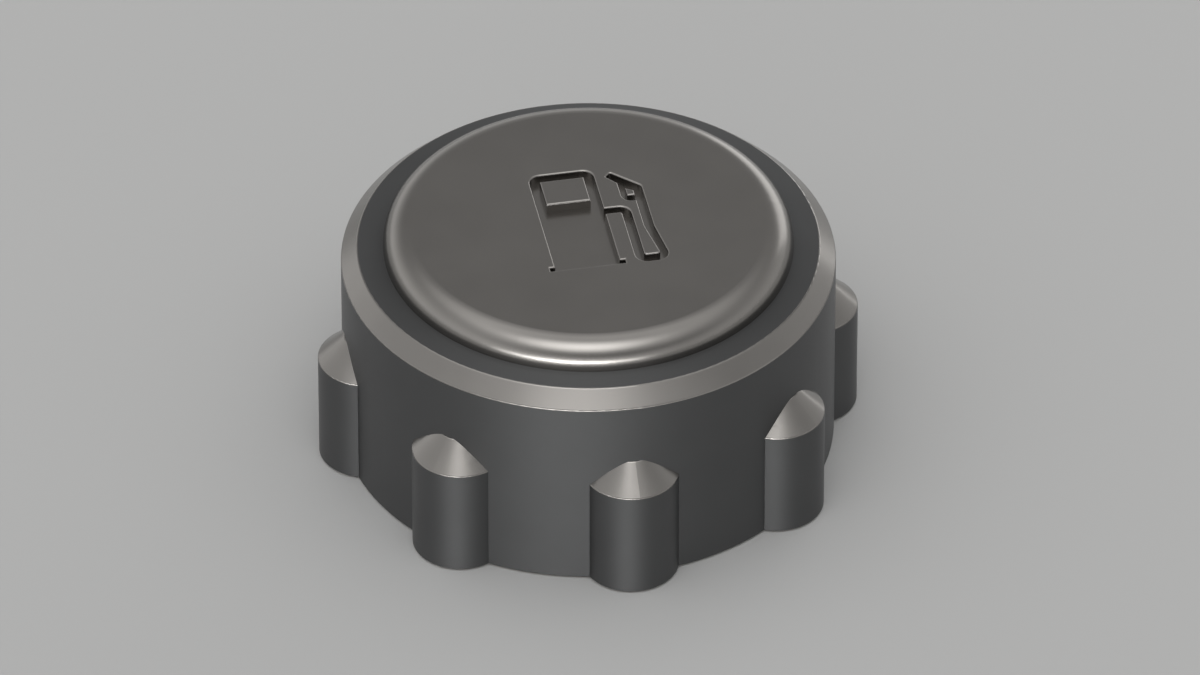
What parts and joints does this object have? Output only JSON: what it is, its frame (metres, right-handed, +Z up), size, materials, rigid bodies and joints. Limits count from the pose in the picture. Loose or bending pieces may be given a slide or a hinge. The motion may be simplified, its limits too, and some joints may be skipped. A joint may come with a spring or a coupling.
{
  "type": "fuel filler cap",
  "caption": "Round metal fuel filler cap with grip lugs, a sunk pump sign, a ratcheting threaded closure and a pressure and vacuum valve inside.",
  "frame": {"origin": "centre of the rim that faces the filler neck", "axes": "+Z up along the cap's axis through the disc on top, -Y through one grip lug"},
  "size_m": [0.06, 0.06, 0.028],
  "materials": {
    "cover_metal": "satin, dark anodised",
    "ratchet_plastic": "natural acetal",
    "spring_steel": "plain spring steel",
    "closure_plastic": "glass-filled black",
    "gasket_rubber": "matte",
    "foam": "open-cell foam",
    "valve_brass": "turned"
  },
  "bodies": {
    "cover": {"outer_cover": "cover_metal", "ratchet_ring": "ratchet_plastic", "snap_ring": "spring_steel", "thrust_washer": "spring_steel", "wear_washer": "spring_steel", "wave_washer": "spring_steel"},
    "closure": {"closure_body": "closure_plastic", "drive_hub": "ratchet_plastic", "hub_screws": "spring_steel", "neck_gasket": "gasket_rubber", "splash_baffle": "closure_plastic", "vent_filter": "foam", "valve_cap": "ratchet_plastic", "pressure_spring": "spring_steel"},
    "pressure_valve": {"pressure_seal": "gasket_rubber", "pressure_plate": "valve_brass", "vacuum_spring": "spring_steel"},
    "vacuum_valve": {"vacuum_poppet": "valve_brass", "poppet_clip": "spring_steel"}
  },
  "joints": [
    {"name": "ratchet_spin", "type": "hinge", "parent": "cover", "child": "closure", "pos_m": [0, 0, 0], "axis": [0, 0, 1], "continuous": true},
    {"name": "pressure_lift", "type": "slide", "parent": "closure", "child": "pressure_valve", "axis": [0, 0, 1], "range_m": [0, 0.0012], "stiffness_N_per_m": 600, "deforming": ["pressure_spring"]},
    {"name": "vacuum_drop", "type": "slide", "parent": "pressure_valve", "child": "vacuum_valve", "axis": [0, 0, -1], "range_m": [0, 0.001], "stiffness_N_per_m": 150, "springref_m": -0.0005, "deforming": ["vacuum_spring"]}
  ]
}
